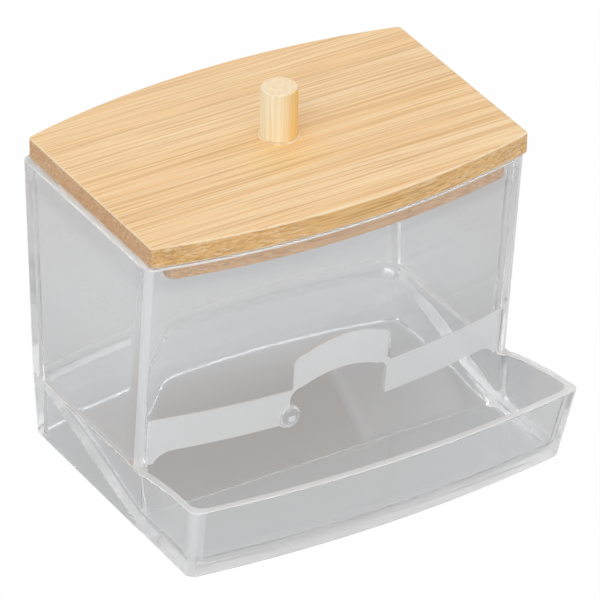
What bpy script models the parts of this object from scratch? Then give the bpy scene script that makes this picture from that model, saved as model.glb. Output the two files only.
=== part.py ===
"""Cotton swab box: a clear bin with a bowed front and back, standing on a clear base whose
ramp feeds the swabs out under the front wall into an open tray, and a lift-off bamboo lid.

Metres, +Z up. The origin is on the table, in the middle of the whole outline. The tray points
to -Y. Each solid is built from closed rings of points, and only the outlet, the hollow under
the ramp and the knob hole are cut out afterwards.
"""

import math

import bmesh
import bpy
from mathutils import Vector

MM = 0.001

# Seams between pieces that touch
SEAT_GAP = 0.3 * MM

# Heights of the whole box
SEAM_Z = 17.8 * MM
BIN_TOP_Z = 78.1 * MM
BOARD_THICK = 5.9 * MM

# Bin: plan at its top rim and at the seam, where the base has the same plan
BIN_TOP_HALF_X = 54.3 * MM
BIN_TOP_HALF_Y = 37.6 * MM
BIN_TOP_BOW_RADIUS = 214.0 * MM
SEAM_HALF_X = 54.4 * MM
SEAM_FRONT_Y = 32.4 * MM
SEAM_FRONT_BOW_RADIUS = 215.0 * MM
SEAM_BACK_Y = 33.5 * MM
SEAM_BACK_BOW_RADIUS = 234.0 * MM
BIN_WALL = 2.3 * MM
BIN_CORNER = 2.4 * MM
BIN_INNER_CORNER = 5.5 * MM
RIM_EASE = 0.5 * MM

# Outlet in the front wall of the bin: a wide slot with a finger notch in the middle
SLOT_HALF_X = SEAM_HALF_X - 4.2 * MM
SLOT_TOP_Z = SEAM_Z + 3.5 * MM
SLOT_CORNER = 5.6 * MM
NOTCH_HALF_X = 14.0 * MM
NOTCH_TOP_Z = SLOT_TOP_Z + 13.0 * MM
NOTCH_DOME = 2.6 * MM
NOTCH_KNEE = 3.2 * MM
LIP_HALF_X = SEAM_HALF_X - 2.8 * MM
LIP_CORNER = 1.2 * MM
LIP_HEIGHT = 10.8 * MM
LIP_SET_BACK = 0.9 * MM
NUB_RADII = (3.2 * MM, 1.7 * MM, 3.3 * MM)
NUB_CENTRE = (0.3 * MM - NOTCH_HALF_X, SLOT_TOP_Z + 1.8 * MM)

# Base: how far its walls lean, from the table up to the seam or to the tray rim
BACK_LEAN = 2.3 * MM
TRAY_STEP_Y = 5.6 * MM - SEAM_FRONT_Y
TRAY_STEP_RUN = 1.4 * MM
TRAY_FOOT_HALF_X = SEAM_HALF_X - 0.2 * MM
TRAY_REACH = 22.7 * MM
TRAY_FOOT_FRONT_Y = -SEAM_FRONT_Y - TRAY_REACH
TRAY_FOOT_BOW_RADIUS = 352.0 * MM
TRAY_REAR_LEAN = 0.7 * MM
TRAY_FRONT_CORNER_LEAN = 1.8 * MM
TRAY_FRONT_LEAN = 6.1 * MM
TRAY_RIM_BOW_RADIUS = 316.0 * MM
TRAY_RIM_PLAN_Z = SEAM_Z + 5.4 * MM
BASE_WALL = 2.3 * MM
REAR_WALL_EXTRA = 0.9 * MM
BASE_CORNER = 2.6 * MM
BASE_INNER_CORNER = 3.4 * MM
FOOT_ROUND = 0.8 * MM
FLOOR_FILLET = 4.5 * MM
FLOOR_FILLET_BACK = 0.6 * MM
FILLET_SHARE = 0.8

# Tray rim seen from the side: how far out from the step, and how high above the seam
TRAY_RIM = (
    (0.2 * MM, -0.1 * MM),
    (3.2 * MM, 0.9 * MM),
    (8.2 * MM, 2.3 * MM),
    (14.2 * MM, 3.6 * MM),
    (21.2 * MM, 4.6 * MM),
    (28.2 * MM, 5.2 * MM),
    (35.2 * MM, 5.5 * MM),
)

# Floor seen from the side: flat in the tray, then a ramp up to a landing at the back wall
FLOOR_THICK = 2.6 * MM
RAMP_THICK = 2.3 * MM
RAMP_FOOT_Y = 7.1 * MM - SEAM_FRONT_Y
RAMP_HEAD_Y = SEAM_BACK_Y - 15.5 * MM
LANDING_Z = SEAM_Z - 2.0 * MM
RAMP_BLEND = 2.0 * MM
RAMP_BLEND_RISE = 0.4 * MM
RAMP = (
    (RAMP_FOOT_Y, FLOOR_THICK),
    (RAMP_FOOT_Y + RAMP_BLEND, FLOOR_THICK + RAMP_BLEND_RISE),
    (RAMP_HEAD_Y, LANDING_Z - RAMP_BLEND_RISE),
    (RAMP_HEAD_Y + RAMP_BLEND, LANDING_Z),
)
HOLLOW_FRONT_Y = RAMP_FOOT_Y + 1.9 * MM

# Lid: the board lies on the rim of the bin, the locating plate drops into its mouth. It is
# loose, and rests a little to the right and forward within its play
LID_OFFSET = (0.9 * MM, -0.7 * MM)
BOARD_SIDE_REVEAL = 0.3 * MM
BOARD_BOW_REVEAL = 0.6 * MM
BOARD_CORNER = 1.2 * MM
BOARD_EASE = 0.5 * MM
PLATE_THICK = 5.0 * MM
PLATE_SIDE_PLAY = 3.5 * MM
PLATE_BOW_PLAY = 1.6 * MM
PLATE_CORNER = BIN_INNER_CORNER - 2.5 * MM
PLATE_EASE = 0.3 * MM
KNOB_DIAMETER = 9.4 * MM
KNOB_RISE = 14.0 * MM
KNOB_SEAT_DEPTH = 3.0 * MM
KNOB_CHAMFER = 0.5 * MM

# The tray reaches further forward than the bin reaches back: this centres the whole outline
BIN_Y = (TRAY_FRONT_LEAN - TRAY_FOOT_FRONT_Y - BIN_TOP_HALF_Y) / 2

# Stations along an outline are never closer than this
SMALLEST_STEP = 0.2 * MM

# How far a cutter reaches past the plastic or wood that it cuts
CUT_MARGIN = 5.0 * MM

# Fineness of the curves
BOW_STEPS = 24
CORNER_STEPS = 5
ROUND_STEPS = 48
RIM_STEPS = 3
FOOT_STEPS = 2
FILLET_STEPS = 4
EASE_STEPS = 3
DOME_STEPS = 12
TRAY_SIDE_STEPS = 8
RAMP_SIDE_STEPS = 7


def clear_scene():
    for obj in list(bpy.data.objects):
        bpy.data.objects.remove(obj, do_unlink=True)


def material(name, colour, roughness, transmission=0.0, ior=1.49):
    made = bpy.data.materials.new(name)
    made.use_nodes = True
    shader = made.node_tree.nodes["Principled BSDF"]
    shader.inputs["Base Color"].default_value = (*colour, 1.0)
    shader.inputs["Roughness"].default_value = roughness
    shader.inputs["Transmission Weight"].default_value = transmission
    shader.inputs["IOR"].default_value = ior
    return made


def solid(name, vertices, faces, given=None):
    mesh = bpy.data.meshes.new(name)
    mesh.from_pydata([tuple(v) for v in vertices], [], faces)
    work = bmesh.new()
    work.from_mesh(mesh)
    bmesh.ops.triangulate(work, faces=work.faces)
    bmesh.ops.recalc_face_normals(work, faces=work.faces)
    work.to_mesh(mesh)
    work.free()
    obj = bpy.data.objects.new(name, mesh)
    bpy.context.collection.objects.link(obj)
    if given:
        mesh.materials.append(given)
    return obj


def helper(obj):
    """Hides a cutter from the finished model."""
    obj.hide_render = True
    obj.display_type = "WIRE"
    return obj


def combine(obj, other, operation):
    """Adds a Boolean with a helper object, and keeps its result as the mesh of the object."""
    step = obj.modifiers.new(other.name, "BOOLEAN")
    step.operation = operation
    step.solver = "EXACT"
    step.object = helper(other)
    bpy.context.view_layer.update()
    graph = bpy.context.evaluated_depsgraph_get()
    result = bpy.data.meshes.new_from_object(obj.evaluated_get(graph), depsgraph=graph)
    obj.modifiers.clear()
    old = obj.data
    obj.data = result
    bpy.data.meshes.remove(old)
    bpy.data.objects.remove(other, do_unlink=True)
    return obj


def between(start, end, t):
    return start + (end - start) * t


def along(table, y):
    """Height of a side-view line at y, straight between its points and level beyond them."""
    if y <= table[0][0]:
        return table[0][1]
    for (y0, z0), (y1, z1) in zip(table, table[1:]):
        if y <= y1:
            return between(z0, z1, (y - y0) / (y1 - y0))
    return table[-1][1]


def half_end(half_x, mid_y, radius, corner, outward):
    """Points of one bowed end at x >= 0, from the middle of the bow round the corner to the
    side. outward is -1 at the front and +1 at the back."""
    centre_y = mid_y - outward * radius
    reach = radius - corner
    fillet_x = half_x - corner
    fillet_y = centre_y + outward * math.sqrt(reach**2 - fillet_x**2)
    turn = math.asin(fillet_x / reach)
    points = []
    for step in range(BOW_STEPS + 1):
        angle = turn * step / BOW_STEPS
        points.append((radius * math.sin(angle), centre_y + outward * radius * math.cos(angle)))
    for step in range(1, CORNER_STEPS + 1):
        angle = turn + (math.pi / 2 - turn) * step / CORNER_STEPS
        points.append((fillet_x + corner * math.sin(angle), fillet_y + outward * corner * math.cos(angle)))
    return points


def right_half(front, back, side=()):
    """Open chain of points from the middle of the front to the middle of the back, x >= 0.
    front and back are (half_x, mid_y, bow radius, corner radius)."""
    return half_end(*front, -1) + list(side) + half_end(*back, 1)[::-1]


def whole(chain):
    """Closed outline from a right-hand chain: up the right side and back down the left."""
    return chain + [(-x, y) for x, y in chain[-2::-1] if x > 0]


def bowed_plan(half_x, half_y, radius, corner):
    end = (half_x, half_y, radius, corner)
    return whole(right_half((half_x, -half_y, radius, corner), end))


def ring_at(plan, z):
    return [Vector((x, y, z)) for x, y in plan]


def stack(rings, close=False):
    """Faces between rings of equal length. close joins the last ring to the first."""
    count = len(rings[0])
    vertices = [v for ring in rings for v in ring]
    faces = []
    pairs = list(range(len(rings) - 1))
    for level in pairs:
        for i in range(count):
            j = (i + 1) % count
            a, b = level * count, (level + 1) * count
            faces.append((a + i, a + j, b + j, b + i))
    if close:
        last = (len(rings) - 1) * count
        for i in range(count):
            j = (i + 1) % count
            faces.append((last + i, last + j, j, i))
    return vertices, faces


def cross_strips(offset, count):
    """Faces that fill a symmetric outline with strips across it. An outline of even length
    starts on the middle line, and one of odd length starts at the right of a straight front."""
    faces = []
    first = 0
    if count % 2 == 0:
        faces.append((offset, offset + 1, offset + count - 1))
        first = 1
    back = count // 2
    for i in range(first, back - 1):
        mirrored = offset + count - 1 + first - i
        faces.append((offset + i, offset + i + 1, mirrored - 1, mirrored))
    faces.append((offset + back - 1, offset + back, offset + back + 1))
    return faces


def eased_slab(name, plan_of, z0, z1, ease, given):
    """Slab with softened top and bottom edges. plan_of(inset) returns its outline."""
    rings = []
    for step in range(EASE_STEPS + 1):
        angle = math.pi / 2 * step / EASE_STEPS
        rings.append(ring_at(plan_of(ease * (1 - math.sin(angle))), z0 + ease * (1 - math.cos(angle))))
    for step in range(EASE_STEPS + 1):
        angle = math.pi / 2 * (1 - step / EASE_STEPS)
        rings.append(ring_at(plan_of(ease * (1 - math.sin(angle))), z1 - ease * (1 - math.cos(angle))))
    vertices, faces = stack(rings)
    count = len(rings[0])
    faces += cross_strips(0, count)
    faces += cross_strips((len(rings) - 1) * count, count)
    return solid(name, vertices, faces, given)


def lathe(name, profile, centre, given=None):
    """Solid of revolution about a vertical line. profile runs from the bottom to the top."""
    rings = []
    for radius, z in profile:
        rings.append([
            Vector((
                centre[0] + radius * math.cos(2 * math.pi * i / ROUND_STEPS),
                centre[1] + radius * math.sin(2 * math.pi * i / ROUND_STEPS),
                z,
            ))
            for i in range(ROUND_STEPS)
        ])
    vertices, faces = stack(rings)
    last = (len(rings) - 1) * ROUND_STEPS
    faces.append(tuple(range(ROUND_STEPS)))
    faces.append(tuple(last + i for i in range(ROUND_STEPS)))
    return solid(name, vertices, faces, given)


def rim_profile(wall):
    """Section over the top of a wall, as how far in from its outer face and how high above
    the start of the eased edges: outer edge, flat top, inner edge."""
    arc = [math.pi / 2 * step / RIM_STEPS for step in range(RIM_STEPS + 1)]
    outer = [(RIM_EASE * (1 - math.cos(a)), RIM_EASE * math.sin(a)) for a in arc]
    return outer + [(wall - inset, rise) for inset, rise in outer[::-1]]


def shade(obj, angle=35):
    for face in obj.data.polygons:
        face.use_smooth = True
    obj.data.set_sharp_from_angle(angle=math.radians(angle))
    return obj


# Bin
def bin_plan(z, inset=0.0):
    """Outline of the bin at height z, drawn in by inset."""
    t = (z - SEAM_Z) / (BIN_TOP_Z - SEAM_Z)
    half_x = between(SEAM_HALF_X, BIN_TOP_HALF_X, t) - inset
    front_y = between(SEAM_FRONT_Y, BIN_TOP_HALF_Y, t) - inset
    back_y = between(SEAM_BACK_Y, BIN_TOP_HALF_Y, t) - inset
    front_bow = between(SEAM_FRONT_BOW_RADIUS, BIN_TOP_BOW_RADIUS, t)
    back_bow = between(SEAM_BACK_BOW_RADIUS, BIN_TOP_BOW_RADIUS, t)
    corner = between(BIN_CORNER, BIN_INNER_CORNER, inset / BIN_WALL)
    front = (half_x, -front_y, front_bow - inset, corner)
    back = (half_x, back_y, back_bow - inset, corner)
    return [(x, y + BIN_Y) for x, y in whole(right_half(front, back))]


def outlet_outline(half_x, corner, rise):
    """Outline of the slot with its finger notch, in x and z, moved up by rise."""
    top = SLOT_TOP_Z + rise
    points = [(half_x, SEAM_Z - CUT_MARGIN)]
    for step in range(CORNER_STEPS + 1):
        angle = math.pi / 2 * step / CORNER_STEPS
        points.append((
            half_x - corner * (1 - math.cos(angle)),
            top - corner * (1 - math.sin(angle)),
        ))
    points.append((NOTCH_HALF_X, top))
    shoulder = NOTCH_TOP_Z - NOTCH_DOME + rise
    knee_z = shoulder - NOTCH_KNEE
    points.append((NOTCH_HALF_X, knee_z))
    for step in range(1, CORNER_STEPS):
        angle = math.pi / 2 * step / CORNER_STEPS
        points.append((
            NOTCH_HALF_X - NOTCH_KNEE * (1 - math.cos(angle)),
            knee_z + NOTCH_KNEE * math.sin(angle),
        ))
    dome_half = NOTCH_HALF_X - NOTCH_KNEE
    for step in range(DOME_STEPS + 1):
        x = dome_half * (1 - step / DOME_STEPS)
        points.append((x, NOTCH_TOP_Z + rise - NOTCH_DOME * (x / dome_half) ** 2))
    return points + [(-x, z) for x, z in points[-2::-1]]


def front_prism(name, outline, y0, y1):
    near = [Vector((x, y0, z)) for x, z in outline]
    far = [Vector((x, y1, z)) for x, z in outline]
    vertices, faces = stack([near, far])
    count = len(outline)
    faces.append(tuple(range(count)))
    faces.append(tuple(count + i for i in range(count)))
    return solid(name, vertices, faces)


def make_bin(given):
    bottom = SEAM_Z + SEAT_GAP / 2
    rings = [ring_at(bin_plan(bottom), bottom)]
    start = BIN_TOP_Z - RIM_EASE
    for inset, rise in rim_profile(BIN_WALL):
        rings.append(ring_at(bin_plan(start, inset), start + rise))
    rings.append(ring_at(bin_plan(bottom, BIN_WALL), bottom))
    vertices, faces = stack(rings, close=True)
    made = solid("bin", vertices, faces, given)

    front = BIN_Y - BIN_TOP_HALF_Y - CUT_MARGIN
    inside = BIN_Y
    lip_outline = outlet_outline(LIP_HALF_X, LIP_CORNER, LIP_HEIGHT)
    slot_outline = outlet_outline(SLOT_HALF_X, SLOT_CORNER, 0.0)
    lip = front_prism("lip_set_back", lip_outline, front, inside)
    low, high = SEAM_Z - CUT_MARGIN, NOTCH_TOP_Z + LIP_HEIGHT + CUT_MARGIN
    core_rings = [ring_at(bin_plan(z, LIP_SET_BACK), z) for z in (low, high)]
    vertices, faces = stack(core_rings)
    count = len(core_rings[0])
    faces += cross_strips(0, count) + cross_strips(count, count)
    combine(lip, solid("lip_core", vertices, faces), "DIFFERENCE")
    combine(made, front_prism("outlet", slot_outline, front, inside), "DIFFERENCE")
    combine(made, lip, "DIFFERENCE")
    combine(made, make_nub(), "UNION")
    return shade(made)


def make_nub():
    """Small rounded knuckle of plastic in the left lower corner of the finger notch."""
    x, z = NUB_CENTRE
    t = (z - SEAM_Z) / (BIN_TOP_Z - SEAM_Z)
    wall_y = BIN_Y - between(SEAM_FRONT_Y, BIN_TOP_HALF_Y, t)
    wall_y += x * x / (2 * SEAM_FRONT_BOW_RADIUS) + (BIN_WALL + LIP_SET_BACK) / 2
    work = bmesh.new()
    bmesh.ops.create_uvsphere(work, u_segments=20, v_segments=12, radius=1.0)
    for vertex in work.verts:
        vertex.co = Vector((
            x + vertex.co.x * NUB_RADII[0],
            wall_y + vertex.co.y * NUB_RADII[1],
            z + vertex.co.z * NUB_RADII[2],
        ))
    mesh = bpy.data.meshes.new("nub")
    work.to_mesh(mesh)
    work.free()
    obj = bpy.data.objects.new("nub", mesh)
    bpy.context.collection.objects.link(obj)
    return obj


# Base with its ramp and tray
def base_plan(z, inset=0.0, back_inset=None):
    """Outline of the base at height z, drawn in by inset, and by back_inset at the back. The
    tray sides step out a little in front of the bin and its walls lean outwards."""
    if back_inset is None:
        back_inset = inset
    t = z / TRAY_RIM_PLAN_Z
    inward = min(inset / BASE_WALL, 1.0)
    rear = SEAM_HALF_X - inset - REAR_WALL_EXTRA * inward
    corner = between(BASE_CORNER, BASE_INNER_CORNER, inward)
    back_y_mid = SEAM_BACK_Y - BACK_LEAN * (1 - z / SEAM_Z) - back_inset
    step_half = TRAY_FOOT_HALF_X + TRAY_REAR_LEAN * t - inset
    front_half = TRAY_FOOT_HALF_X + TRAY_FRONT_CORNER_LEAN * t - inset
    front_y = TRAY_FOOT_FRONT_Y - TRAY_FRONT_LEAN * t + inset
    bow = between(TRAY_FOOT_BOW_RADIUS, TRAY_RIM_BOW_RADIUS, t) - inset
    front = (front_half, front_y, bow, corner)
    back = (rear, back_y_mid, SEAM_BACK_BOW_RADIUS - back_inset, corner)
    corner_y = half_end(*front, -1)[-1][1]
    back_y = half_end(*back, 1)[-1][1]
    side = []
    for i in range(1, TRAY_SIDE_STEPS + 1):
        f = i / TRAY_SIDE_STEPS
        side.append((
            front_half + (step_half - front_half) * f,
            corner_y + (TRAY_STEP_Y - TRAY_STEP_RUN - corner_y) * f,
        ))
    (foot, _), (start, _), (end, _), (landing, _) = RAMP
    slope = [between(start, end, i / RAMP_SIDE_STEPS) for i in range(RAMP_SIDE_STEPS + 1)]
    stations = [TRAY_STEP_Y, foot] + slope + [landing]
    for i, y in enumerate(stations):
        side.append((rear, min(y, back_y - SMALLEST_STEP * (len(stations) - i))))
    chain = whole(right_half(front, back, side))
    return [(x, y + BIN_Y) for x, y in chain]


def floor_z(y):
    return along(RAMP, y - BIN_Y)


def rim_z(y):
    """Height of the rim of the base at y, with the bin standing on its rear part."""
    out = BIN_Y + TRAY_STEP_Y - y
    if out < 0:
        return SEAM_Z - SEAT_GAP / 2
    return SEAM_Z + along(TRAY_RIM, out)


def slide(low, high, z_of):
    """Ring of points between two plans, each raised along its own leaning line to z_of(y)."""
    ring = []
    for (x0, y0), (x1, y1) in zip(low, high):
        f = z_of(y0) / TRAY_RIM_PLAN_Z
        x, y = x0 + (x1 - x0) * f, y0 + (y1 - y0) * f
        ring.append(Vector((x, y, z_of(y0))))
    return ring


def make_base(given):
    outer_low, outer_high = base_plan(0.0), base_plan(TRAY_RIM_PLAN_Z)
    inner_low, inner_high = base_plan(0.0, BASE_WALL), base_plan(TRAY_RIM_PLAN_Z, BASE_WALL)

    def fillet_height(y):
        return min(FLOOR_FILLET, FILLET_SHARE * (rim_z(y) - RIM_EASE - floor_z(y)))

    rings = []
    for step in range(FOOT_STEPS + 1):
        angle = math.pi / 2 * step / FOOT_STEPS
        inset = FOOT_ROUND * (1 - math.sin(angle))
        height = FOOT_ROUND * (1 - math.cos(angle))
        low, high = base_plan(0.0, inset), base_plan(TRAY_RIM_PLAN_Z, inset)
        rings.append(slide(low, high, lambda y, h=height: h))
    outer_rim = slide(outer_low, outer_high, lambda y: rim_z(y) - RIM_EASE)
    inner_rim = slide(inner_low, inner_high, lambda y: rim_z(y) - RIM_EASE)
    for inset, rise in rim_profile(BASE_WALL):
        up = Vector((0.0, 0.0, rise))
        rings.append([a.lerp(b, inset / BASE_WALL) + up for a, b in zip(outer_rim, inner_rim)])
    for step in range(FILLET_STEPS + 1):
        angle = math.pi / 2 * step / FILLET_STEPS
        out, rise = 1 - math.cos(angle), 1 - math.sin(angle)
        insets = (BASE_WALL + FLOOR_FILLET * out, BASE_WALL + FLOOR_FILLET_BACK * out)
        low, high = base_plan(0.0, *insets), base_plan(TRAY_RIM_PLAN_Z, *insets)
        rings.append(slide(low, high, lambda y, r=rise: floor_z(y) + r * fillet_height(y)))
    vertices, faces = stack(rings)
    count = len(rings[0])
    faces += cross_strips(0, count)
    faces += cross_strips((len(rings) - 1) * count, count)
    made = solid("base", vertices, faces, given)
    combine(made, make_hollow(), "DIFFERENCE")
    return shade(made)


def make_hollow():
    """Space under the ramp, open to the table, with a wall of the same thickness round it."""
    plan = base_plan(0.0, BASE_WALL)
    right = [(x, y) for x, y in plan[: len(plan) // 2 + 1] if y > BIN_Y + HOLLOW_FRONT_Y]
    chain = [(right[0][0], BIN_Y + HOLLOW_FRONT_Y)] + right
    outline = whole(chain)
    (foot_y, foot_z), (head_y, head_z) = RAMP[1:3]
    drop = RAMP_THICK / math.cos(math.atan2(head_z - foot_z, head_y - foot_y))
    top = [Vector((x, y, floor_z(y) - drop)) for x, y in outline]
    rings = [ring_at(outline, -CUT_MARGIN), top]
    vertices, faces = stack(rings)
    count = len(outline)
    faces += cross_strips(0, count) + cross_strips(count, count)
    return solid("ramp_hollow", vertices, faces)


# Lid
def lid_plan(side, bow, corner):
    """Outline of the rim of the bin, drawn in by side at the sides and by bow at the bows."""
    plan = bowed_plan(BIN_TOP_HALF_X - side, BIN_TOP_HALF_Y - bow, BIN_TOP_BOW_RADIUS - bow, corner)
    return [(x + LID_OFFSET[0], y + BIN_Y + LID_OFFSET[1]) for x, y in plan]


def board_plan(inset):
    return lid_plan(BOARD_SIDE_REVEAL + inset, BOARD_BOW_REVEAL + inset, BOARD_CORNER)


def plate_plan(inset):
    side, bow = BIN_WALL + PLATE_SIDE_PLAY, BIN_WALL + PLATE_BOW_PLAY
    return lid_plan(side + inset, bow + inset, PLATE_CORNER)


def make_lid(board_wood, plate_wood, knob_wood):
    z0 = BIN_TOP_Z + SEAT_GAP
    z1 = z0 + BOARD_THICK
    board = eased_slab("lid_board", board_plan, z0, z1, BOARD_EASE, board_wood)
    middle = (LID_OFFSET[0], BIN_Y + LID_OFFSET[1])
    seat = KNOB_DIAMETER / 2 + SEAT_GAP
    hole = lathe("knob_hole", [(seat, z1 - KNOB_SEAT_DEPTH), (seat, z1 + CUT_MARGIN)], middle)
    combine(board, hole, "DIFFERENCE")
    plate_top = z0 - SEAT_GAP
    plate = eased_slab(
        "lid_locating_plate", plate_plan, plate_top - PLATE_THICK, plate_top, PLATE_EASE, plate_wood
    )
    foot = z1 - KNOB_SEAT_DEPTH + SEAT_GAP
    top = z1 + KNOB_RISE
    r = KNOB_DIAMETER / 2
    knob = lathe(
        "lid_knob",
        [(r, foot), (r, top - KNOB_CHAMFER), (r - KNOB_CHAMFER * 0.35, top - KNOB_CHAMFER * 0.35),
         (r - KNOB_CHAMFER, top)],
        middle,
        knob_wood,
    )
    return [shade(board, 30), shade(plate, 30), shade(knob, 40)]


clear_scene()
clear_plastic = material("clear_plastic", (0.93, 0.93, 0.93), 0.04, transmission=1.0)
base_plastic = material("clear_base_plastic", (0.92, 0.92, 0.92), 0.05, transmission=1.0)
board_bamboo = material("board_bamboo", (0.72, 0.50, 0.28), 0.55)
plate_bamboo = material("plate_bamboo", (0.52, 0.32, 0.21), 0.6)
knob_bamboo = material("knob_bamboo", (0.78, 0.62, 0.40), 0.55)
make_bin(clear_plastic)
make_base(base_plastic)
make_lid(board_bamboo, plate_bamboo, knob_bamboo)
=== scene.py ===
# %% [markdown]
# # A clear swab box with a bamboo lid
#
# This lesson dresses a finished set of solids, a clear plastic bin standing on a clear base with
# an open tray, and a bamboo lid with a round knob. The solids already have their true shapes and
# sizes, so most of the work here is in the finishes: a plastic that can be seen through, and a
# bamboo whose fibres run the right way on every cut face.

import math

import bmesh
import bpy
from mathutils import Matrix, Vector


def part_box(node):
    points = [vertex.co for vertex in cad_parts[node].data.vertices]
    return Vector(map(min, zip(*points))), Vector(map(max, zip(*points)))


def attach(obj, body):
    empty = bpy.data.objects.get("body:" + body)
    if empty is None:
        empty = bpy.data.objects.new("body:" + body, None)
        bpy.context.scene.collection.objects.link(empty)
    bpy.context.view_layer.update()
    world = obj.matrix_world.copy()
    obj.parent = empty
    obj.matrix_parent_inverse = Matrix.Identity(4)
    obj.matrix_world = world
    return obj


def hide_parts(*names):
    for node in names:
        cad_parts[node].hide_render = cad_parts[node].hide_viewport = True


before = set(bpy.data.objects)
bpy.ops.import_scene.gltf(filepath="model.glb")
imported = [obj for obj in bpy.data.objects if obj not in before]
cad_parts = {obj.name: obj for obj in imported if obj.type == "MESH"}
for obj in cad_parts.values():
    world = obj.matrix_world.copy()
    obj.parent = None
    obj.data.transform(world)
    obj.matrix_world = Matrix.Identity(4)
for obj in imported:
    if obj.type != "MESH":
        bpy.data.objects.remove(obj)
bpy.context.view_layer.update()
MM = 0.001

# %% [markdown]
# ## The camera
#
# A product picture of a small box is usually taken from a good distance with a long lens, so that
# the edges stay almost parallel. A camera could be placed by hand and pointed by eye. Here its
# direction is given by two angles instead, the turn round the box and the height above the table,
# and a very small tilt of the camera itself, because angles are easy to read and to change.

# %% Camera
LENS_MM = 414.7
TURN, HEIGHT, TILT = (math.radians(a) for a in (-31.78, 32.606, 0.854))
DISTANCE = 1641.6 * MM
AIM = Vector((-34.0, -56.3, 84.3)) * MM


def place_camera():
    back = Vector((
        math.sin(TURN) * math.cos(HEIGHT),
        -math.cos(TURN) * math.cos(HEIGHT),
        math.sin(HEIGHT),
    ))
    level = Vector((math.cos(TURN), math.sin(TURN), 0.0))
    upright = back.cross(level)
    right = level * math.cos(TILT) + upright * math.sin(TILT)
    up = upright * math.cos(TILT) - level * math.sin(TILT)
    data = bpy.data.cameras.new("product_camera")
    data.lens = LENS_MM
    data.sensor_fit = "HORIZONTAL"
    camera = bpy.data.objects.new("product_camera", data)
    bpy.context.scene.collection.objects.link(camera)
    turn = Matrix((right, up, back)).transposed().to_4x4()
    camera.matrix_world = Matrix.Translation(AIM + back * DISTANCE) @ turn
    bpy.context.scene.camera = camera
    return camera


camera = place_camera()
print("camera at", [round(v, 3) for v in camera.matrix_world.translation], "metres")

# %% [markdown]
# ## Writing shader maths in Python
#
# A material is a small network of nodes. It could be wired by hand, but dozens of Math nodes hide
# what they do. So a socket is wrapped here in a class that knows plus, minus, times and divide,
# and an expression such as `1 - stripes * 0.3` adds its nodes by itself.

# %% A socket that can be calculated with
class Wire:
    """The output of one node, in the finish that it belongs to."""

    def __init__(self, finish, socket):
        self.finish, self.socket = finish, socket

    def maths(self, operation, *values):
        sockets = dict(enumerate(values))
        return self.finish.node("ShaderNodeMath", {"operation": operation}, sockets)["Value"]

    def __add__(self, other):
        return self.maths("ADD", self, other)

    def __sub__(self, other):
        return self.maths("SUBTRACT", self, other)

    def __mul__(self, other):
        return self.maths("MULTIPLY", self, other)

    def __truediv__(self, other):
        return self.maths("DIVIDE", self, other)

    def __rsub__(self, other):
        return self.maths("SUBTRACT", other, self)

    def __rtruediv__(self, other):
        return self.maths("DIVIDE", other, self)

    __radd__, __rmul__ = __add__, __mul__

    def above(self, limit):
        """1 where the value is above a limit, and 0 elsewhere."""
        return self.maths("GREATER_THAN", self, limit)

    def or_larger(self, other):
        """The larger of two values, which for masks means one or the other."""
        return self.maths("MAXIMUM", self, other)

    def between(self, low, high):
        """0 below low, 1 above high, and a smooth rise from one to the other."""
        settings = {"interpolation_type": "SMOOTHSTEP"}
        sockets = {"Value": self, "From Min": low, "From Max": high}
        return self.finish.node("ShaderNodeMapRange", settings, sockets)["Result"]


class Outputs:
    """The outputs of one node, by name or by number."""

    def __init__(self, finish, made):
        self.finish, self.made = finish, made

    def __getitem__(self, name):
        return Wire(self.finish, self.made.outputs[name])


# %% [markdown]
# Every other node comes from one method, `node`, which takes the node's type, its settings and
# what goes into its sockets, a value or a wire. The other methods are short names for the few
# combinations that come back in nearly every finish: a mix of two colours or two shaders, a
# relief, a place on the piece, and a cloudy noise that can be stretched.

# %% A finish under construction
MIX_FACTOR, MIX_FIRST, MIX_SECOND, MIX_COLOUR = 0, 6, 7, 2


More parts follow.
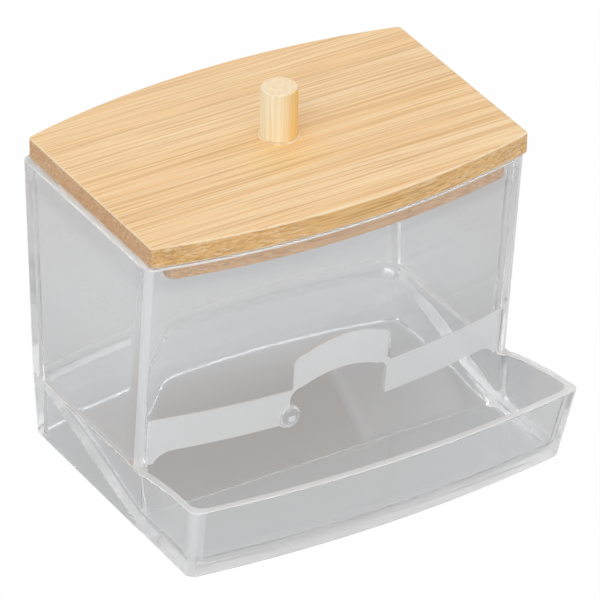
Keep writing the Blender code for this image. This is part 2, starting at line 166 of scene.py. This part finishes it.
class Finish:
    """The nodes of a material, or of the sky."""

    def __init__(self, name, holder=None):
        self.holder = holder or bpy.data.materials.new(name)
        self.holder.use_nodes = True
        self.tree = self.holder.node_tree
        self.tree.nodes.clear()
        self.count = 0

    def node(self, kind, settings=None, sockets=None):
        made = self.tree.nodes.new(kind)
        for key, value in (settings or {}).items():
            setattr(made, key, value)
        for key, value in (sockets or {}).items():
            entry = made.inputs[key]
            if isinstance(value, Wire):
                self.tree.links.new(value.socket, entry)
            else:
                entry.default_value = value
        self.count += 1
        return Outputs(self, made)

    def blend(self, factor, first, second):
        """The first colour where the factor is 0, and the second where it is 1."""
        settings = {"data_type": "RGBA", "blend_type": "MIX", "clamp_factor": True}
        sockets = {MIX_FACTOR: factor, MIX_FIRST: first, MIX_SECOND: second}
        return self.node("ShaderNodeMix", settings, sockets)[MIX_COLOUR]

    def mix(self, factor, first, second):
        """The first shader where the factor is 0, and the second where it is 1."""
        return self.node("ShaderNodeMixShader", {}, {0: factor, 1: first, 2: second})["Shader"]

    def bump(self, strength, depth, height):
        """The way that the surface looks, tilted as if it had a relief."""
        sockets = {"Strength": strength, "Distance": depth, "Height": height}
        return self.node("ShaderNodeBump", {}, sockets)["Normal"]

    def point(self):
        """The point on the piece, in metres."""
        return self.node("ShaderNodeTexCoord")["Object"]

    def split(self, vector):
        """The X, Y and Z of a point."""
        return self.node("ShaderNodeSeparateXYZ", {}, {"Vector": vector})

    def noise(self, scale, detail=2.0, roughness=0.5, warp=0.0):
        """Cloudy values of about 0.3 to 0.7, with spots of 1 / scale metres along each axis."""
        sockets = {"Vector": self.point(), "Scale": scale}
        stretched = self.node("ShaderNodeMapping", {}, sockets)["Vector"]
        sockets = {
            "Vector": stretched, "Scale": 1.0, "Detail": detail,
            "Roughness": roughness, "Distortion": warp,
        }
        return self.node("ShaderNodeTexNoise", {}, sockets)["Fac"]

    def done(self, shader):
        self.node("ShaderNodeOutputMaterial", {}, {"Surface": shader})
        print(self.holder.name, "has", self.count, "nodes")
        return self.holder


# %% Colours as they show on screen
def srgb(red, green, blue):
    """A colour as it shows on screen, 0 to 255, in the linear values that shaders take."""
    parts = [c / 255 for c in (red, green, blue)]
    linear = [c / 12.92 if c <= 0.04045 else ((c + 0.055) / 1.055) ** 2.4 for c in parts]
    return (*linear, 1.0)


print("a screen grey of 128 is", round(srgb(128, 128, 128)[0], 3), "in a shader")

# %% [markdown]
# ## Smooth copies of the solids
#
# The solids come out of the CAD file as flat triangles. Clear plastic shows every one of them,
# because light bends a little differently in each. Subdividing them would round off the real
# edges, so each solid gets a copy for the eye instead. In the copy the loose triangles are sewn
# together, flat areas are joined to one face, and the shading runs smoothly round every curve but
# stops at every real edge. The copy stands for the solid and moves with the same body.

# %% Smooth copies
SEW_DISTANCE = 0.002 * MM
FLAT_ANGLE = math.radians(0.15)
PLASTIC_EDGE_DEGREES = 35
BAMBOO_EDGE_DEGREES = 40


def smooth_copy(node, name, body, sharp_from):
    """A copy of one solid, with smooth shading up to edges that are sharper than an angle."""
    source = bpy.data.objects[node].data
    work = bmesh.new()
    for vertex in source.vertices:
        work.verts.new(vertex.co)
    work.verts.ensure_lookup_table()
    for face in source.polygons:
        work.faces.new([work.verts[i] for i in face.vertices])
    bmesh.ops.remove_doubles(work, verts=work.verts, dist=SEW_DISTANCE)
    bmesh.ops.dissolve_limit(work, angle_limit=FLAT_ANGLE, verts=work.verts, edges=work.edges)
    bmesh.ops.recalc_face_normals(work, faces=work.faces)
    mesh = bpy.data.meshes.new(name)
    work.to_mesh(mesh)
    work.free()
    mesh.shade_smooth()
    mesh.set_sharp_from_angle(angle=math.radians(sharp_from))
    piece = bpy.data.objects.new(name, mesh)
    bpy.context.scene.collection.objects.link(piece)
    even = piece.modifiers.new("even_shading", "WEIGHTED_NORMAL")
    even.keep_sharp = True
    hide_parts(node)
    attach(piece, body)
    print(name, "has", len(mesh.polygons), "faces")
    return piece


clear_bin = smooth_copy("bin", "clear_bin", "box", PLASTIC_EDGE_DEGREES)
clear_base = smooth_copy("base", "clear_base", "box", PLASTIC_EDGE_DEGREES)
board = smooth_copy("lid_board", "bamboo_board", "lid", BAMBOO_EDGE_DEGREES)
plate = smooth_copy(
    "lid_locating_plate", "bamboo_locating_plate", "lid", BAMBOO_EDGE_DEGREES,
)
knob = smooth_copy("lid_knob", "bamboo_knob", "lid", BAMBOO_EDGE_DEGREES)

# %% [markdown]
# ## Clear plastic
#
# The bin and the base are moulded in clear polystyrene. A plain see-through shader with a gloss
# on top would render sooner, but the rims and the rounds in the corners bend the lines behind
# them, and those bent lines are what makes the box look like plastic. So the shader is a
# glass-like one, with nearly full transmission, a bend of light of 1.49 and little roughness.
# A moulded wall is never perfectly even. Broad soft waves tilt it by a hair, which makes the
# reflections swim, and handling leaves faint cloudy patches that are a little rougher. A band high
# on the walls is paler, with a matt white mixed in, which is a painted reflection of the bright
# studio. The walls of the tray are paler in the same way, most at their foot, as a painted glow.
# The base and its slopes get a faint, even haze of the same matt white.
#
# A glass-like shader blocks the lamps, and would leave the inside of the box in the dark. For
# the rays that carry light to the things inside and below, it is therefore swapped for a plain
# see-through one, which takes away a little at each surface. Rays that have glanced off the
# plastic or gone through it a few times get the same way out, because they would only carry the
# brown of the lid into corners that are white on the real box. The base is tinted a little
# cooler than the bin, which evens out the warm light that falls on its floor from the lid.

# %% Numbers of the clear plastic
PLASTIC_BEND = 1.49
PLASTIC_TINT = (0.972, 0.98, 0.988, 1.0)
BASE_TINT = (0.95, 0.976, 1.0, 1.0)
SHADOW_TINT = (0.93, 0.93, 0.93, 1.0)
DUST_AND_SHEEN = (0.96, 0.96, 0.96, 1.0)
MOST_TURNS = 9
WAVE_SPOTS = (35, 35, 22)
WAVE_STRENGTH, WAVE_DEPTH = 0.1, 0.5 * MM
HAZE_SPOTS = (60, 60, 90)
GRIME_FROM, GRIME_FULL = 0.52, 0.75
POLISH, GRIME_ROUGHNESS, GRIME_COVER = 0.01, 0.03, 0.02
# The matt white in the wall band is a painted reflection; on the tray it is a painted glow.
WALL_SHEEN_BAND = (30, 56, 68, 74)
ABOVE_TRAY_FOOT = (2, 12, 90, 91)
print("the pale band of the walls is whole from", WALL_SHEEN_BAND[1], "to", WALL_SHEEN_BAND[2], "mm high")


# %% Clear plastic
def passes_freely(finish, glances):
    """1 for rays that carry light, and for rays that are tired of turning, and 0 for the others."""
    path = finish.node("ShaderNodeLightPath")
    worn = path["Glossy Depth"].above(glances)
    tired = path["Ray Depth"].above(MOST_TURNS)
    carries_light = path["Is Shadow Ray"].or_larger(path["Is Diffuse Ray"])
    return worn.or_larger(tired).or_larger(carries_light)


def clear_plastic(name, clearness, satin=0.0, haze_and_sheen=0.0, band_haze_and_sheen=0.0, band=WALL_SHEEN_BAND,
                  glances=2, tint=PLASTIC_TINT):
    """Clear plastic with waves, haze and matt white, with a strength of its own in a band of
    heights.

    The band gives four heights in millimetres, where it starts, is whole, fades and has ended.
    The matt white is an even haze on the base and its slopes, a painted reflection in the band of
    the bin's walls, and a painted glow on the walls of the tray, strongest at their foot.
    """
    finish = Finish(name)
    height = finish.split(finish.point())["Z"]
    waves = finish.noise(WAVE_SPOTS, detail=1.0)
    haze = finish.noise(HAZE_SPOTS, detail=3.0, roughness=0.6)
    grime = haze.between(GRIME_FROM, GRIME_FULL)
    plastic = finish.node("ShaderNodeBsdfPrincipled", {}, {
        "Base Color": tint,
        "Roughness": POLISH + satin + grime * GRIME_ROUGHNESS,
        "IOR": PLASTIC_BEND,
        "Transmission Weight": clearness,
        "Normal": finish.bump(WAVE_STRENGTH, WAVE_DEPTH, waves),
    })
    start, whole, fade, end = (h * MM for h in band)
    in_band = height.between(start, whole) * (1 - height.between(fade, end))
    # Matt white mixed in: haze in the cloudy patches and on the base, painted reflection in the
    # wall band, painted glow on the tray.
    haze_and_sheen_cover = in_band * (band_haze_and_sheen - haze_and_sheen) + grime * GRIME_COVER + haze_and_sheen
    dust_and_sheen = finish.node("ShaderNodeBsdfDiffuse", {}, {"Color": DUST_AND_SHEEN})
    dusty_and_sheened = finish.mix(haze_and_sheen_cover, plastic["BSDF"], dust_and_sheen["BSDF"])
    open_way = finish.node("ShaderNodeBsdfTransparent", {}, {"Color": SHADOW_TINT})
    return finish.done(finish.mix(passes_freely(finish, glances), dusty_and_sheened, open_way["BSDF"]))


PLASTIC_FINISHES = (
    # The bin's walls get a painted reflection in their band.
    clear_plastic("clear_polystyrene", 0.95, band_haze_and_sheen=0.2),
    # The lip band is almost matt white, a painted reflection.
    clear_plastic("polystyrene_lip_painted_sheen", 0.18, satin=0.22),
    # Rims, corners and outlet edges are half matt white, a painted highlight.
    clear_plastic("polystyrene_edge_painted_highlight", 0.45, satin=0.12),
    # The walls of the tray get a painted glow, strongest at their foot.
    clear_plastic("clear_polystyrene_tray", 0.95, haze_and_sheen=0.3, band_haze_and_sheen=0.1, band=ABOVE_TRAY_FOOT),
    clear_plastic(
        "clear_polystyrene_ramp", 0.98, haze_and_sheen=0.03, band_haze_and_sheen=0.03, glances=3, tint=BASE_TINT,
    ),
)
CLEAR, PAINTED_LIP_SHEEN, PAINTED_EDGE_HIGHLIGHT, TRAY, RAMP = range(len(PLASTIC_FINISHES))
base_finish = clear_plastic(
    "clear_polystyrene_base", 0.98, haze_and_sheen=0.06, band_haze_and_sheen=0.06, tint=BASE_TINT,
)
for finish in PLASTIC_FINISHES:
    clear_bin.data.materials.append(finish)
for finish in (base_finish, *PLASTIC_FINISHES[1:]):
    clear_base.data.materials.append(finish)

# %% [markdown]
# ## The lip band and the painted highlights of the edges
#
# The lower part of the front wall is set back by less than a millimetre, up to a contour that
# runs parallel to the outlet. That band is made almost matt white, which is a painted reflection
# of the bright light that the set-back band throws back. Rims, corners and the edges of the outlet
# are made about half matt white, a painted highlight for the bright lines that light makes along
# them. Both could be painted by hand, face by face, but the faces can also be told apart by where
# they lie and which way they look, and that still works when the shape is changed. The slopes
# inside the base have a finish of their own, which differs only in how often a ray may glance off
# it.

# %% Where the finishes of the plastic lie
LIP_TOP = 32.2 * MM
LIP_NOTCH_TOP = 45.2 * MM
LIP_HALF_X = 51.6 * MM
NOTCH_HALF_X = 14.0 * MM
BOW_DIAMETER = 430.0 * MM
WALL_ZONE = 9.0 * MM
KNUCKLE = Vector((-13.7, -20.0, 23.1)) * MM
KNUCKLE_REACH = 3.7 * MM
TOP_RIM_Z = 77.0 * MM
BASE_RIM_Z = 17.9 * MM - 0.8 * MM
TRAY_BACK_Y = -27.0 * MM
BIN_FRONT_Y = min(v.co.y for v in clear_bin.data.vertices)
print("the front of the bin bows out to", round(BIN_FRONT_Y / MM, 1), "mm")

# %% [markdown]
# The way that a face looks is a vector of length 1. Its part along one axis is near 1 when the
# face looks straight along that axis, near 0 when it stands edge on, and 0.5 at sixty degrees.

# %% The lip band and the painted highlights of the edges
FLAT_FRONT = 0.99
LEVEL = 0.99
HALF_WAY = 0.5
EDGE_ON = 0.35
ROUND_SLOPE = 0.3


def is_round(way):
    """Part of an upright round between two walls."""
    return min(abs(way.x), abs(way.y)) > ROUND_SLOPE and abs(way.z) < HALF_WAY


def is_corner(place, way):
    """The outer round between two walls."""
    return is_round(way) and way.x * place.x > 0


def finish_on_bin(place, way):
    """The faces of the band, then the edges of the outlet, the top rim and the corners.

    The small knuckle at the notch stays clear, apart from its flat front.
    """
    top = LIP_NOTCH_TOP if abs(place.x) < NOTCH_HALF_X else LIP_TOP
    depth = place.y - BIN_FRONT_Y - place.x ** 2 / BOW_DIAMETER
    in_zone = place.z < top and abs(place.x) < LIP_HALF_X and depth < WALL_ZONE
    if (place - KNUCKLE).length < KNUCKLE_REACH and way.y > -FLAT_FRONT:
        return CLEAR
    if in_zone and way.y < -HALF_WAY:
        return PAINTED_LIP_SHEEN
    if in_zone and abs(way.y) < EDGE_ON or place.z > TOP_RIM_Z or is_corner(place, way):
        return PAINTED_EDGE_HIGHLIGHT
    return CLEAR


def finish_on_base(place, way):
    """The top of the rim all the way round, the corners, the walls of the tray and the slopes."""
    in_tray = place.y < TRAY_BACK_Y
    on_rim = way.z > HALF_WAY and place.z > BASE_RIM_Z
    if on_rim or is_corner(place, way) or in_tray and is_round(way):
        return PAINTED_EDGE_HIGHLIGHT
    if in_tray and abs(way.z) < HALF_WAY:
        return TRAY
    if HALF_WAY < way.z < LEVEL:
        return RAMP
    return CLEAR


def spread_finishes(piece, finish_on):
    count = [0] * len(PLASTIC_FINISHES)
    for face in piece.data.polygons:
        face.material_index = finish_on(face.center, face.normal)
        count[face.material_index] += 1
    # The milky faces counted here are the lip band, whose white is a painted reflection.
    print(piece.name, "has these numbers of clear, milky, edge, tray and ramp faces:", count)


spread_finishes(clear_bin, finish_on_bin)
spread_finishes(clear_base, finish_on_base)

# %% [markdown]
# ## Bamboo
#
# Bamboo is a bundle of straight fibres. Cut along them it shows fine lines, and cut across them
# it shows dots. A picture of wood wrapped round the board would show lines on the ends too. One
# noise that is drawn in the space of the piece and stretched along the fibres does better: every
# face then shows the cut that it really makes. Five layers of it lie over each other, from strips
# as wide as a finger to single hairs.

# %% The layers of the grain
class Layer:
    """One layer of the grain, with its spots for each metre along and across the fibres."""

    def __init__(self, along, across, start, full, strength, detail=1.0, roughness=0.5):
        self.along, self.across = along, across
        self.start, self.full, self.strength = start, full, strength
        self.detail, self.roughness = detail, roughness

    def draw(self, finish, direction, warp=0.0, density=1.0):
        """The noise of this layer, with the fibres along one axis of the piece."""
        across = self.across * density
        scale = tuple(self.along if axis == direction else across for axis in "XYZ")
        return finish.noise(scale, self.detail, self.roughness, warp)

    def cover(self, noise, streaks=1.0):
        """How much this layer hides of what lies under it."""
        return noise.between(self.start, self.full) * (streaks * self.strength)


HAIRS = Layer(30, 4000, start=0.52, full=0.64, strength=1.1, roughness=0.6)
FINE_LINES = Layer(13, 1900, start=0.54, full=0.66, strength=0.9, roughness=0.6)
PALE_LINES = Layer(9, 2900, start=0.5, full=0.68, strength=1.0)
BANDS = Layer(5, 420, start=0.5, full=0.75, strength=0.5, detail=2.0)
STRIPS = Layer(4, 70, start=0.4, full=0.6, strength=0.7)
print("one hair of the grain is about", round(1 / HAIRS.across / MM, 2), "mm wide")

# %% [markdown]
# Two masks change the colour more broadly. The knob is nearly white on its left side and yellow
# on its right, partly the bamboo's own colour and partly painted shade on the side that faces
# away from the lamps. In front of it the glue has soaked into the board and left a soft yellow
# spot. Both masks are worked out from the place on the piece, so that they stay on it when the
# lid is lifted.

# %% The yellow side of the knob, partly painted shade, and the spot on the board
PALE_FIBRE = srgb(255, 240, 208)
SPOT_COLOUR = srgb(250, 208, 132)
SPOT_PLACE = (-2.5 * MM, 2.0 * MM)
SPOT_SIZE = (14.0 * MM, 11.0 * MM)
SPOT_STRENGTH = 0.42
SHADE_FROM, SHADE_FULL = 0.1, 0.85


def across_piece(finish):
    """0 on the left of a piece and 1 on its right, in the space of its own box."""
    place = finish.split(finish.node("ShaderNodeTexCoord")["Generated"])
    return place["X"].between(SHADE_FROM, SHADE_FULL)


def round_spot(finish):
    """1 in the middle of the spot, times its strength, and 0 from its rim outward."""
    place = finish.split(finish.point())
    aside = (place["X"] - SPOT_PLACE[0]) / SPOT_SIZE[0]
    ahead = (place["Y"] - SPOT_PLACE[1]) / SPOT_SIZE[1]
    return (1 - (aside * aside + ahead * ahead)).between(0.0, 1.0) * SPOT_STRENGTH


# %% Bamboo
GRAIN_STRENGTH, GRAIN_DEPTH = 0.25, 0.1 * MM
BAMBOO_ROUGHNESS, FIBRE_ROUGHNESS = 0.5, 0.2


def bamboo(name, direction, light, middle, dark, streaks=0.5, wave=0.0, density=1.0,
           shade=None, spot=False):
    """Bamboo with its fibres along one axis, in three colours as they show on screen."""
    light, middle, dark = (srgb(*colour) for colour in (light, middle, dark))
    finish = Finish(name)
    hair = HAIRS.draw(finish, direction, wave, density)
    fine = FINE_LINES.draw(finish, direction, wave, density)
    pale = PALE_LINES.draw(finish, direction, wave, density)
    bands = BANDS.draw(finish, direction, wave)
    strips = STRIPS.draw(finish, direction)
    colour = finish.blend(STRIPS.cover(strips), light, middle)
    # The knob's right side turns yellow: partly its own colour, partly painted shade.
    if shade:
        colour = finish.blend(across_piece(finish), colour, srgb(*shade))
    if spot:
        colour = finish.blend(round_spot(finish), colour, SPOT_COLOUR)
    colour = finish.blend(BANDS.cover(bands, streaks), colour, dark)
    colour = finish.blend(PALE_LINES.cover(pale, streaks), colour, PALE_FIBRE)
    colour = finish.blend(FINE_LINES.cover(fine, streaks), colour, dark)
    colour = finish.blend(HAIRS.cover(hair, streaks), colour, dark)
    wood = finish.node("ShaderNodeBsdfPrincipled", {}, {
        "Base Color": colour,
        "Roughness": BAMBOO_ROUGHNESS + fine * FIBRE_ROUGHNESS,
        "Normal": finish.bump(GRAIN_STRENGTH, GRAIN_DEPTH, hair),
    })
    return finish.done(wood["BSDF"])


# %% [markdown]
# ## The faces of the lid
#
# The board shows how it was made. Its wide face is warm and even, the long edges are more yellow
# and wavy, and the ends are darker, because open fibres drink the light. The eased edges are paler
# than the rest, a painted highlight of the light that catches their rounds. One finish for the
# whole lid would lose all this, so the faces are sorted by the way that they look, and each kind
# has its own colours.

# %% The cut that each face shows
WIDE, LONG_EDGE, END, EASED = range(4)
WIDE_FROM, EASED_FROM = 0.95, 0.2


def sort_faces(piece):
    """Sorts the faces of a board by the cut that they show."""
    for face in piece.data.polygons:
        x, y, z = (abs(v) for v in face.normal)
        if z > WIDE_FROM:
            face.material_index = WIDE
        elif z > EASED_FROM:
            face.material_index = EASED
        elif x > y:
            face.material_index = END
        else:
            face.material_index = LONG_EDGE
    ends = sum(face.material_index == END for face in piece.data.polygons)
    print(piece.name, "shows the ends of its fibres on", ends, "faces")


for piece in (board, plate):
    sort_faces(piece)
for face in knob.data.polygons:
    face.material_index = int(face.normal.z > HALF_WAY)

# %% The bamboo of the board, the plate and the knob
board_finishes = (
    bamboo(
        "bamboo_wide_face", "X", (252, 217, 168), (248, 206, 152), (206, 150, 88),
        streaks=0.45, spot=True,
    ),
    bamboo(
        "bamboo_long_edge", "X", (246, 200, 138), (240, 190, 122), (186, 134, 76),
        streaks=0.45, wave=0.35, density=0.8,
    ),
    bamboo("bamboo_end", "X", (232, 186, 138), (224, 174, 128), (178, 128, 82)),
    # The eased edges are paler, a painted highlight.
    bamboo("bamboo_eased_edge_painted_highlight", "X", (255, 234, 200), (255, 228, 188), (240, 196, 140)),
)
plate_face = bamboo("bamboo_plate", "X", (252, 200, 140), (246, 186, 120), (200, 134, 78))
# The shade colour of the knob's side is partly painted shade.
knob_side = bamboo(
    "bamboo_knob_side", "Z", (255, 253, 236), (255, 250, 222), (252, 214, 134),
    streaks=0.42, shade=(251, 197, 98),
)
knob_top = bamboo(
    "bamboo_knob_top", "Z", (255, 240, 212), (255, 234, 198), (240, 198, 140), streaks=0.6,
)
plate_finishes = (plate_face, plate_face, board_finishes[END], plate_face)
for piece, finishes in (
    (board, board_finishes), (plate, plate_finishes), (knob, (knob_side, knob_top)),
):
    for finish in finishes:
        piece.data.materials.append(finish)

# %% [markdown]
# ## The glue round the knob
#
# The knob stands in a shallow seat in the board, and a thin bead of dried glue fills the gap
# round its foot. A plain ring would look machined. So one small section is carried round the
# knob, and swells and shrinks a little on the way, as a real bead does.

# %% The finish of the glue
GLUE_SPOTS = (350, 350, 350)
GLUE_FROM, GLUE_FULL = 0.4, 0.65
GLUE_STRENGTH, GLUE_DEPTH = 0.2, 0.1 * MM
GLUE_ROUGHNESS, CLOUD_ROUGHNESS = 0.35, 0.2


def dried_glue():
    finish = Finish("dried_glue")
    cloud = finish.noise(GLUE_SPOTS, detail=1.0)
    cloudy = cloud.between(GLUE_FROM, GLUE_FULL)
    glue = finish.node("ShaderNodeBsdfPrincipled", {}, {
        "Base Color": finish.blend(cloudy, srgb(250, 222, 178), srgb(236, 202, 154)),
        "Roughness": GLUE_ROUGHNESS + cloud * CLOUD_ROUGHNESS,
        "Normal": finish.bump(GLUE_STRENGTH, GLUE_DEPTH, cloud),
    })
    return finish.done(glue["BSDF"])


# %% Glue bead
KNOB_RADIUS = 4.7 * MM
BEAD_STEPS = 72
BEAD_SECTION_MM = (
    (0.02, -0.35), (0.42, -0.3), (0.62, 0.03), (0.42, 0.16), (0.18, 0.3), (0.02, 0.42),
)
SLOW_SWELL, SLOW_TURNS, SLOW_START = 0.1, 3, 1
QUICK_SWELL, QUICK_TURNS = 0.06, 7


def bead_ring(work, centre_x, centre_y, board_top, angle):
    """The section at one angle round the knob. Only what stands above the board swells upward."""
    slow = SLOW_SWELL * math.sin(SLOW_TURNS * angle + SLOW_START)
    swell = 1 + slow + QUICK_SWELL * math.sin(QUICK_TURNS * angle)
    ring = []
    for out, up in BEAD_SECTION_MM:
        radius = KNOB_RADIUS + out * swell * MM
        rise = up * (swell if up > 0 else 1) * MM
        x, y = centre_x + radius * math.cos(angle), centre_y + radius * math.sin(angle)
        ring.append(work.verts.new((x, y, board_top + rise)))
    return ring


def make_bead():
    low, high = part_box("lid_knob")
    centre_x, centre_y = (low[0] + high[0]) / 2, (low[1] + high[1]) / 2
    board_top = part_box("lid_board")[1][2]
    work = bmesh.new()
    angles = [2 * math.pi * step / BEAD_STEPS for step in range(BEAD_STEPS)]
    rings = [bead_ring(work, centre_x, centre_y, board_top, angle) for angle in angles]
    for ring, after in zip(rings, rings[1:] + rings[:1]):
        for i in range(len(ring)):
            j = (i + 1) % len(ring)
            work.faces.new((ring[i], after[i], after[j], ring[j]))
    bmesh.ops.recalc_face_normals(work, faces=work.faces)
    mesh = bpy.data.meshes.new("glue_bead")
    work.to_mesh(mesh)
    work.free()
    mesh.shade_smooth()
    mesh.materials.append(dried_glue())
    bead = bpy.data.objects.new("glue_bead", mesh)
    bpy.context.scene.collection.objects.link(bead)
    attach(bead, "lid")
    print("glue bead has", len(mesh.polygons), "faces")


make_bead()

# %% [markdown]
# ## Floor and light
#
# The floor is a plain pale sheet. Lamps strong enough to turn it white would bleach the lid too,
# so it is made almost white by its material instead, for the rays that come straight from the
# camera, and it keeps a faint shadow. Mirrored in the plastic it is a little less white. Seen
# through the plastic it shows more of its own grey, which is what gives the walls a body.

# %% Floor
FLOOR_HALF = 3.0
FLOOR_DROP = 0.2 * MM
FLOOR_GREY = (0.613, 0.62, 0.629, 1.0)
PLAIN_WHITE = (1.0, 1.0, 1.0, 1.0)
SEEN_WHITE, MIRRORED_WHITE, THROUGH_WHITE = 0.99, 0.75, 0.075


def make_floor():
    mesh = bpy.data.meshes.new("studio_floor")
    ends = (-FLOOR_HALF, FLOOR_HALF)
    corners = [(x, y, -FLOOR_DROP) for y in ends for x in ends]
    mesh.from_pydata(corners, [], [(0, 1, 3, 2)])
    floor = bpy.data.objects.new("studio_floor", mesh)
    bpy.context.scene.collection.objects.link(floor)
    finish = Finish("pale_floor")
    path = finish.node("ShaderNodeLightPath")
    through = path["Is Transmission Ray"]
    mirrored = path["Is Glossy Ray"] * (1 - through)
    white = path["Is Camera Ray"] * SEEN_WHITE + mirrored * MIRRORED_WHITE + through * THROUGH_WHITE
    sheet = finish.node("ShaderNodeBsdfDiffuse", {}, {"Color": FLOOR_GREY})
    glow = finish.node("ShaderNodeEmission", {}, {"Color": PLAIN_WHITE, "Strength": 1.0})
    mesh.materials.append(finish.done(finish.mix(white, sheet["BSDF"], glow["Emission"])))


make_floor()

# %% [markdown]
# Three large soft lamps light the object at a plain level, from the left, the front and above.
# A single small one would throw a hard shadow and put a hot spot on every rim. Around them lies
# an even white sky. What it gives as light and what it shows in mirrored rays are two levels, so
# that reflections stay white without bleaching the bamboo.

# %% Lamps
LAMP_TARGET = Vector((0, 0, 0.04))


def make_lamp(name, place, size, power):
    data = bpy.data.lights.new(name, "AREA")
    data.shape = "RECTANGLE"
    data.size, data.size_y = size
    data.energy = power
    lamp = bpy.data.objects.new(name, data)
    bpy.context.scene.collection.objects.link(lamp)
    place = Vector(place)
    aim = (LAMP_TARGET - place).to_track_quat("-Z", "Y").to_matrix().to_4x4()
    lamp.matrix_world = Matrix.Translation(place) @ aim
    print(name, "gives", power, "watts")


make_lamp("softbox_left", (-0.9, -0.5, 0.9), (0.9, 0.9), 4.8)
make_lamp("softbox_front", (0.3, -1.2, 0.6), (0.9, 0.7), 2.6)
make_lamp("softbox_top", (0.2, 0.1, 1.3), (1.2, 1.2), 3.4)

# %% Sky
SKY_LIGHT, SKY_SHOWN = 0.55, 1.0


def make_sky():
    """An even white sky. It lights with one level, and shows itself in reflections at another."""
    sky = Finish("studio_sky", bpy.data.worlds.new("studio_sky"))
    path = sky.node("ShaderNodeLightPath")
    mirrored = path["Is Glossy Ray"] * (1 - path["Is Transmission Ray"])
    seen = mirrored.or_larger(path["Is Camera Ray"])
    strength = SKY_LIGHT + seen * (SKY_SHOWN - SKY_LIGHT)
    glow = sky.node("ShaderNodeBackground", {}, {"Color": PLAIN_WHITE, "Strength": strength})
    sky.node("ShaderNodeOutputWorld", {}, {"Surface": glow["Background"]})
    bpy.context.scene.world = sky.holder
    print("the sky has", sky.count, "nodes")


make_sky()
bpy.context.scene.view_settings.view_transform = "Standard"
